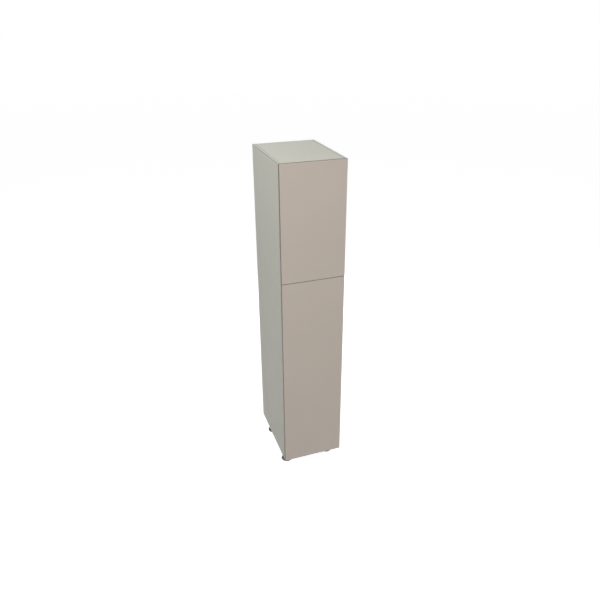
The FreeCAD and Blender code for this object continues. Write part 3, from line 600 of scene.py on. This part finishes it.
def screw_tree():
    tree = ShapeTree("cross_head_screw", (*SCREW_SIZES, "Shank length", "Facing"))
    whole = {"Mesh 2": [screw_head(tree), screw_shank(tree)]}
    blank = tree.add("GeometryNodeMeshBoolean", whole, operation="UNION", solver="EXACT")["Mesh"]
    cut = {"Mesh 1": blank, "Mesh 2": cross_recess(tree)}
    screw = tree.add("GeometryNodeMeshBoolean", cut, operation="DIFFERENCE", solver="EXACT")["Mesh"]
    out = {"Vector": tree.size["Facing"]}
    facing = tree.add("FunctionNodeAlignRotationToVector", out, axis="Z")["Rotation"]
    copies = {"Points": tree.size["Geometry"], "Instance": screw, "Rotation": facing}
    screws = tree.add("GeometryNodeInstanceOnPoints", copies)["Instances"]
    turn = {"Min": (0, 0, 0), "Max": (0, 0, math.tau), "Seed": SPIN_SEED}
    spin = tree.add("FunctionNodeRandomValue", turn, data_type="FLOAT_VECTOR")["Value"]
    spun = tree.add("GeometryNodeRotateInstances", {"Instances": screws, "Rotation": spin})["Instances"]
    return tree.finish(spun)


cross_head_screw = screw_tree()

# %% [markdown]
# ## Find the screws
# The tree needs a point at each screw's seat. They could be typed in, but the CAD screws already know where
# they are: a merged copy of their mesh is split into its separate solids, and each solid's box gives its
# middle and its length.

# %% Find the screws
MERGE_DISTANCE = 1e-6


def merged_copy(node):
    """A working copy of a CAD node's mesh, with its loose triangles joined."""
    shape = bmesh.new()
    shape.from_mesh(frame["nodes"][node].data)
    bmesh.ops.remove_doubles(shape, verts=shape.verts, dist=MERGE_DISTANCE)
    return shape


def separate_boxes(node):
    """The box of each separate solid in a CAD node, as its middle and its size, from the floor up."""
    shape = merged_copy(node)
    waiting = set(shape.verts)
    boxes = []
    while waiting:
        solid = [waiting.pop()]
        for vert in solid:
            near = {edge.other_vert(vert) for edge in vert.link_edges} & waiting
            solid.extend(near)
            waiting -= near
        low = Vector(min(vert.co[axis] for vert in solid) for axis in range(3))
        high = Vector(max(vert.co[axis] for vert in solid) for axis in range(3))
        boxes.append(((low + high) / 2, high - low))
    shape.free()
    return sorted(boxes, key=lambda box: [round(part, 4) for part in reversed(box[0])])


print("found", len(separate_boxes("leg_screws")), "leg screws")

# %% [markdown]
# ## Set the screws
# All the screws of one node face the same way, out of the board they hold to. A screw's seat lies half its
# length from the middle of its box, less the height of the head. The screws of a node become one mesh,
# because they ride on one body.

# %% Set the screws
SCREW_FACINGS = {
    "hinge_plate_screws": (-1, 0, 0),
    "hinge_arm_screws": (-1, 0, 0),
    "latch_screws": (0, 0, -1),
    "leg_screws": (0, 0, -1),
    "upper_cup_screws": (0, 1, 0),
    "lower_cup_screws": (0, 1, 0),
}


def set_screws(node, facing):
    boxes = separate_boxes(node)
    length = max(boxes[0][1])
    to_seat = Vector(facing) * (length / 2 - SCREW_SIZES["Head height"])
    mesh = bpy.data.meshes.new(node)
    mesh.from_pydata([middle + to_seat for middle, _ in boxes], [], [])
    screws = new_object(f"cross_head_{node}", mesh)
    sizes = {**SCREW_SIZES, "Shank length": length - SCREW_SIZES["Head height"], "Facing": facing}
    grown(screws, cross_head_screw, {**sizes, "Finish": finishes["screw_steel"]})
    stands_for(screws, node)


for node, facing in SCREW_FACINGS.items():
    set_screws(node, facing)

# %% [markdown]
# ## A lathe for the round mouldings
# Each leg is two mouldings: a socket screwed under the cabinet, and a foot whose threaded stem turns in it.
# Both are round, so they are turned from a profile, ring by ring. A Screw modifier could do the same, but a
# lathe in code can also cut the thread: the depth of cut follows the height and the angle together, so that
# the groove climbs as it goes round.

# %% Lathe
SEGMENTS = 64
THREAD_PITCH, THREAD_DEPTH = 0.004, 0.0007


def ring_of(shape, radius, height, cut):
    """One ring of points, with a thread cut into it up to a depth."""
    ring = []
    for step in range(SEGMENTS):
        angle = math.tau * step / SEGMENTS
        wave = 0.5 - 0.5 * math.cos(math.tau * height / THREAD_PITCH - angle)
        reach = radius - cut * wave
        ring.append(shape.verts.new((reach * math.cos(angle), reach * math.sin(angle), height)))
    return ring


def lathed(name, profile, closed=False, threaded=None):
    """Turn (radius, height) rows about the upright axis, with a thread between two heights."""
    shape = bmesh.new()
    rings = []
    for radius, height in profile:
        on_thread = threaded and threaded[0] < height < threaded[1]
        rings.append(ring_of(shape, radius, height, THREAD_DEPTH if on_thread else 0.0))
    pairs = list(zip(rings, rings[1:])) + ([(rings[-1], rings[0])] if closed else [])
    for lower, upper in pairs:
        for step in range(SEGMENTS):
            after = (step + 1) % SEGMENTS
            shape.faces.new((lower[step], lower[after], upper[after], upper[step]))
    if not closed:
        shape.faces.new(list(reversed(rings[0])))
        shape.faces.new(rings[-1])
    bmesh.ops.recalc_face_normals(shape, faces=shape.faces)
    mesh = bpy.data.meshes.new(name)
    shape.to_mesh(mesh)
    shape.free()
    return mesh


print("the lathe turns", SEGMENTS, "sides")

# %% [markdown]
# ## Quarter rounds
# A moulding has no sharp corners, because hot plastic doesn't fill them. A profile therefore rounds each of
# its corners by a quarter of a circle. Of its two directions, one goes by the sine of the angle and the other
# by what the cosine lacks, and swapping them turns a corner that bulges out into one that is hollow.

# %% Quarter rounds
def rise(angle):
    return 1 - math.cos(angle)


def quarter_round(across, along, start, stop, steps=5):
    """Rows of a quarter round between two rows, by how its radius and its height go with the angle."""
    rows = []
    for step in range(steps + 1):
        angle = math.radians(90) * step / steps
        radius = start[0] + (stop[0] - start[0]) * across(angle)
        height = start[1] + (stop[1] - start[1]) * along(angle)
        rows.append((radius, height))
    return rows


print("a quarter round has", len(quarter_round(rise, math.sin, (1, 0), (0, 1))), "rows")

# %% [markdown]
# ## Gussets and ribs
# A moulded foot is never a bare cylinder. Thin gussets brace the disc and the flange, and ribs round the
# collar give fingers a grip. All of them are a block whose outer end may be lowered to a lip, set round a
# ring, so a second node tree makes them all. Its inputs are the block's sizes, the ring and the count.

# %% Ring of gussets
BLOCK_SIZES = ("Reach", "Thickness", "Height", "Lip", "Turn over")
RING_SIZES = ("Count", "Ring radius", "First angle", "Centre")


def gusset(tree):
    """A wedge, tall at the ring and low at its outer end, or hung upside down."""
    reach, thickness, height, lip, turn_over = [tree.size[label] for label in BLOCK_SIZES]
    block = {"Size": tree.vector(X=reach, Y=thickness, Z=height)}
    wedge = tree.add("GeometryNodeMeshCube", block)["Mesh"]
    place = tree.add("ShaderNodeSeparateXYZ", {"Vector": tree.position()})
    outer_top = tree.sums("MINIMUM", *[tree.sums("GREATER_THAN", place[axis], 0.0) for axis in "XZ"])
    wedge = tree.shifted(wedge, outer_top, Z=tree.sums("SUBTRACT", lip, height))
    wedge = tree.moved(wedge, X=tree.sums("DIVIDE", reach, 2.0), Z=tree.sums("DIVIDE", height, 2.0))
    over = {"Geometry": wedge, "Rotation": tree.vector(X=turn_over)}
    return tree.add("GeometryNodeTransform", over)["Geometry"]


def ring_tree():
    """Gussets copied round a ring and joined to the piece."""
    tree = ShapeTree("ring_of_gussets", BLOCK_SIZES + RING_SIZES)
    count, ring_radius, first_angle, centre = [tree.size[label] for label in RING_SIZES]
    wedge = gusset(tree)
    ring = tree.add("GeometryNodeMeshCircle", {"Vertices": count, "Radius": ring_radius})["Mesh"]
    outward = {"Vector": tree.position()}
    facing = tree.add("FunctionNodeAlignRotationToVector", outward, axis="X", pivot_axis="Z")["Rotation"]
    copies = {"Points": ring, "Instance": wedge, "Rotation": facing}
    gussets = tree.add("GeometryNodeInstanceOnPoints", copies)["Instances"]
    turned = {"Geometry": gussets, "Translation": centre, "Rotation": tree.vector(Z=first_angle)}
    placed = tree.add("GeometryNodeTransform", turned)["Geometry"]
    joined = {"Geometry": [tree.size["Geometry"], placed]}
    return tree.finish(tree.add("GeometryNodeJoinGeometry", joined)["Geometry"])


ring_of_gussets = ring_tree()

# %% [markdown]
# ## Screw feet
# A foot is a disc on a narrow waist, a ribbed collar to turn it by, and a threaded stem that disappears into
# the socket. Its radius and its height are read from the CAD foot, so the moulding fills its place exactly,
# and the rest are sizes that such feet have.

# %% Profile of a foot
NECK, WAIST, STEM = 0.019, 0.016, 0.0139
DISC_TOP = 0.009
EDGE_ROUND = 0.003
EMBEDDED = 0.001
RINGS_PER_PITCH = 6


def foot_profile(radius, collar, shoulder, top):
    """From the sole up over the disc to the waist, the collar and the threaded stem."""
    rows = [(radius - EDGE_ROUND / 2, 0.0), (radius, EDGE_ROUND / 2)]
    rows += quarter_round(rise, math.sin, (radius, DISC_TOP - EDGE_ROUND), (radius - EDGE_ROUND, DISC_TOP))
    rows += quarter_round(math.sin, rise, (WAIST + EDGE_ROUND, DISC_TOP), (WAIST, DISC_TOP + EDGE_ROUND))
    rows += [(WAIST, collar - EDGE_ROUND), (NECK - EMBEDDED, collar)]
    rows += [(NECK - EMBEDDED, shoulder - EMBEDDED), (NECK - 2 * EMBEDDED, shoulder), (STEM, shoulder)]
    count = round((top - shoulder) / THREAD_PITCH * RINGS_PER_PITCH)
    rows += [(STEM, shoulder + (top - shoulder) * step / count) for step in range(1, count)]
    return rows + [(STEM - THREAD_DEPTH, top)]


def round_place(node):
    """The middle, the radius, the bottom and the top of an upright round node."""
    low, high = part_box(node)
    middle = ((low.x + high.x) / 2, (low.y + high.y) / 2)
    return middle, (high.x - low.x) / 2, low.z, high.z


print("a foot is", round(2000 * round_place("front_left_foot")[1], 1), "mm across")

# %% [markdown]
# ## Four feet
# Each foot is turned at the origin and moved to its corner. The tree then adds its gussets and, in a second
# run, its grip ribs. They start a millimetre inside the wall, because shapes that only touch would leave a
# crack of light between them. Every foot rides on a body of its own, since each screws in and out by itself.

# %% Feet
CORNERS = ("front_left", "front_right", "back_left", "back_right")
COLLAR_SHARE = 0.45
FOOT_BRACES = {
    "Count": 8,
    "Ring radius": WAIST - EMBEDDED,
    "Thickness": 0.0024,
    "Height": 0.016,
    "Lip": 0.001,
}
GRIP_RIBS = {
    "Count": 24,
    "Ring radius": NECK - 2 * EMBEDDED,
    "Thickness": 0.0022,
    "Reach": 2 * EMBEDDED,
}


def screw_foot(corner):
    node = f"{corner}_foot"
    middle, radius, _, top = round_place(node)
    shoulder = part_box(f"{corner}_leg_socket")[0].z
    collar = shoulder - (shoulder - DISC_TOP) * COLLAR_SHARE
    profile = foot_profile(radius, collar, shoulder, top)
    foot = new_object(f"moulded_{node}", lathed(node, profile, threaded=(shoulder, top)))
    foot.data.transform(Matrix.Translation((*middle, 0)))
    plastic = {"Finish": finishes["foot_plastic"]}
    braces = {"Reach": radius - EDGE_ROUND - WAIST, "Centre": (*middle, DISC_TOP - EMBEDDED / 2)}
    grown(foot, ring_of_gussets, {**FOOT_BRACES, **braces, **plastic})
    tall = shoulder - collar - EMBEDDED
    ribs = {"Height": tall, "Lip": tall, "Centre": (*middle, collar)}
    grown(foot, ring_of_gussets, {**GRIP_RIBS, **ribs, **plastic})
    stands_for(foot, node)


for corner in CORNERS:
    screw_foot(corner)

# %% [markdown]
# ## Leg sockets
# The socket is a tube under a round flange that four screws hold to the bottom panel. Its profile goes once
# round the wall, up the outside and down the bore, so the lathe joins the last ring to the first and the tube
# stays open. The same tree hangs its gussets upside down, turned half a step so that the screws fit between.

# %% Sockets
FLANGE, TUBE, BORE = 0.0038, 0.021, 0.0141
RIM_STEPS = 3
SOCKET_BRACES = {
    "Count": 8,
    "Ring radius": TUBE - EMBEDDED,
    "Thickness": 0.0022,
    "Height": 0.024,
    "Lip": 0.001,
    "First angle": math.radians(22.5),
    "Turn over": math.pi,
}


def socket_profile(radius, low, high):
    """Up the outside of the tube, along the underside of the flange, over its rim and back to the bore."""
    under = high - FLANGE
    rows = [(BORE, low), (TUBE - EMBEDDED, low), (TUBE, low + EMBEDDED)]
    rows += quarter_round(rise, math.sin, (TUBE, under - EDGE_ROUND), (TUBE + EDGE_ROUND, under))
    rows += quarter_round(math.sin, rise, (radius - EMBEDDED, under), (radius, under + EMBEDDED), RIM_STEPS)
    return rows + [(radius, high), (BORE, high)]


def leg_socket(corner):
    node = f"{corner}_leg_socket"
    middle, radius, low, high = round_place(node)
    socket = new_object(f"moulded_{node}", lathed(node, socket_profile(radius, low, high), closed=True))
    socket.data.transform(Matrix.Translation((*middle, 0)))
    braces = {"Reach": radius - TUBE, "Centre": (*middle, high - FLANGE + EMBEDDED / 2)}
    grown(socket, ring_of_gussets, {**SOCKET_BRACES, **braces, "Finish": finishes["foot_plastic"]})
    stands_for(socket, node)


for corner in CORNERS:
    leg_socket(corner)

# %% [markdown]
# ## Eased hinges, latches and pins
# Pressed steel and moulded plastic have no razor edges: every corner is broken by a fraction of a millimetre,
# and that is what catches the light on a small fitting. The CAD shapes are right but sharp, so each gets a
# copy whose loose triangles are merged, flat faces made whole again and edges bevelled. A Bevel modifier
# limited by angle leaves round walls alone, and weighted normals keep the flats looking flat.

# %% Eased copies
FLAT_ANGLE, BEVEL_ANGLE = math.radians(1), math.radians(40)
BEVEL_SEGMENTS = 2
EASED_WIDTHS = {
    "hinge_arms": 0.00035,
    "hinge_mounting_plates": 0.00035,
    "upper_hinge_cups": 0.0002,
    "lower_hinge_cups": 0.0002,
    "shelf_pins": 0.0003,
    "upper_latch_housing": 0.0006,
    "lower_latch_housing": 0.0006,
    "upper_strike_plate": 0.0003,
    "lower_strike_plate": 0.0003,
}


def eased_copy(node, width):
    shape = merged_copy(node)
    bmesh.ops.dissolve_limit(shape, angle_limit=FLAT_ANGLE, verts=shape.verts, edges=shape.edges)
    mesh = bpy.data.meshes.new(node)
    shape.to_mesh(mesh)
    shape.free()
    mesh.materials.append(finish_for(node))
    mesh.shade_smooth()
    piece = new_object(f"eased_{node}", mesh)
    bevel = piece.modifiers.new("eased_edges", "BEVEL")
    bevel.width = width
    bevel.segments = BEVEL_SEGMENTS
    bevel.limit_method = "ANGLE"
    bevel.angle_limit = BEVEL_ANGLE
    piece.modifiers.new("flat_faces", "WEIGHTED_NORMAL").keep_sharp = True
    stands_for(settled(piece), node)


for node, width in EASED_WIDTHS.items():
    eased_copy(node, width)

# %% [markdown]
# ## Latch plungers
# A push latch holds the door on a springy rod. Its visible end is a soft cap with a rounded tip, set off from
# the rod by a groove. It is a short lathe again, turned on its side.

# %% Plungers
CAP_LENGTH, GROOVE = 0.007, 0.0006
TIP_SHARE = 0.6


def plunger_profile(radius, length):
    """Along the rod to the groove, then over the cap to its tip."""
    cap = length - CAP_LENGTH
    tip = radius * TIP_SHARE
    rows = [(radius, 0.0), (radius, cap - GROOVE), (radius - GROOVE, cap - GROOVE)]
    rows += [(radius - GROOVE, cap), (radius, cap)]
    return rows + quarter_round(rise, math.sin, (radius, length - tip), (radius - tip, length))


def plunger(node):
    low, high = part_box(node)
    middle = (low + high) / 2
    profile = plunger_profile((high.z - low.z) / 2, high.y - low.y)
    rod = new_object(f"turned_{node}", lathed(node, profile))
    rod.data.transform(Matrix.Rotation(math.radians(90), 4, "X"))
    rod.data.transform(Matrix.Translation((middle.x, high.y, middle.z)))
    rod.data.materials.append(finishes["plunger_plastic"])
    stands_for(smoothed(rod), node)


for node in ("upper_latch_plunger", "lower_latch_plunger"):
    plunger(node)

# %% [markdown]
# ## Floor
# The cabinet stands in a white studio. The floor is a real pale surface, so the feet leave a soft shadow on
# it, and a little extra glow that only the camera and reflections see lifts it to clean white. More light
# would whiten it too, but it would also wash out the cabinet. A Light Path node tells the rays apart.

# %% Floor
HALF_FLOOR = 90.0
FLOOR_GLOW = 0.85
WHITE = (1, 1, 1, 1)


def seen_rays(wiring):
    """1 for a ray from the camera or from a reflection, or else 0."""
    ray = wiring.add("ShaderNodeLightPath")
    return wiring.sums("MAXIMUM", ray["Is Camera Ray"], ray["Is Glossy Ray"])


def studio_floor():
    corners = [(x * HALF_FLOOR, y * HALF_FLOOR, 0) for x, y in ((-1, -1), (1, -1), (1, 1), (-1, 1))]
    mesh = bpy.data.meshes.new("studio_floor")
    mesh.from_pydata(corners, [], [(0, 1, 2, 3)])
    floor = new_object("studio_floor", mesh)
    finish = Finish("studio_floor", {"Roughness": 0.9, "Emission Color": WHITE})
    finish.colour(finish.spread(finish.noise(per_metre=1.2), low=0.40, high=0.42))
    glow = finish.sums("MULTIPLY", seen_rays(finish), FLOOR_GLOW)
    finish.feed(glow, finish.shader["Emission Strength"])
    mesh.materials.append(finish.material)


studio_floor()
print("floor is", 2 * HALF_FLOOR, "m wide")

# %% [markdown]
# ## Sky
# The sky does the same as the floor. It lights the cabinet gently from all round, and shows plain white to
# the camera and in reflections, so that no white backdrop has to be built behind the cabinet.

# %% Sky
SKY_LEVEL = 0.207


def studio_sky():
    world = bpy.data.worlds.new("studio_sky")
    bpy.context.scene.world = world
    world.use_nodes = True
    sky = Wiring(world.node_tree)
    background = sky.tree.nodes["Background"].inputs
    background["Color"].default_value = WHITE
    levels = {"Value": seen_rays(sky), "To Min": SKY_LEVEL, "To Max": 1.0}
    sky.feed(sky.add("ShaderNodeMapRange", levels)["Result"], background["Strength"])


studio_sky()
print("sky lights at", SKY_LEVEL)

# %% [markdown]
# ## Soft lamps
# One wide panel hangs above and in front, so the doors and the top are brightest up high and fade gently
# towards the floor. A weaker one on the left keeps the side panel readable, and a faint one overhead lifts
# the top. Two low ones fill the right side and the back, so the cabinet reads as well when the camera walks
# round it. They stand behind the planes of the doors and of the left side, so they hardly change what the
# first view shows, and they are kept out of reflections, because a board seen at a shallow angle would
# mirror them as a white glare.

# %% Lamps
def soft_panel(name, place, target, width, power, glare=True):
    lamp = bpy.data.lights.new(name, "AREA")
    lamp.shape = "SQUARE"
    lamp.size = width
    lamp.energy = power
    panel = new_object(name, lamp)
    panel.location = place
    panel.visible_camera = False
    panel.visible_glossy = glare
    panel.rotation_euler = (Vector(target) - Vector(place)).to_track_quat("-Z", "Y").to_euler()
    print(f"{name}: {power} W")


soft_panel("front_panel", (-1.2, -6.2, 4.6), (0, 0, 1.3), width=3.0, power=238)
soft_panel("left_panel", (-2.6, -0.4, 4.6), (0, 0, 1.6), width=2.0, power=82)
soft_panel("ceiling_panel", (0, 0.3, 6), (0, 0, 1.4), width=3.0, power=38)
soft_panel("right_panel", (3.4, 0.9, 1.0), (0, 0.1, 1.5), width=2.0, power=66, glare=False)
soft_panel("back_panel", (1.1, 3.4, 1.0), (0, 0.2, 1.5), width=2.0, power=66, glare=False)

# %% [markdown]
# ## Camera
# The photograph looks down from the left at about twenty-six degrees. The camera's place came from matching
# the cabinet's long edges; the small shift stands for the way the picture was cropped.

# %% Camera
LOOK_DOWN, LOOK_RIGHT = 26.1906, 19.6037

camera_data = bpy.data.cameras.new("photo_camera")
camera_data.sensor_width = 36.0
camera_data.lens = 35.092
camera_data.shift_x = -0.01415
camera_data.shift_y = -0.00645
camera = new_object("photo_camera", camera_data)
camera.location = (-1.24377, -3.70491, 3.28579)
camera.rotation_euler = (math.radians(90 - LOOK_DOWN), 0, math.radians(-LOOK_RIGHT))
bpy.context.scene.camera = camera
bpy.context.scene.view_settings.view_transform = "Standard"
print("camera at", [round(part, 3) for part in camera.location])
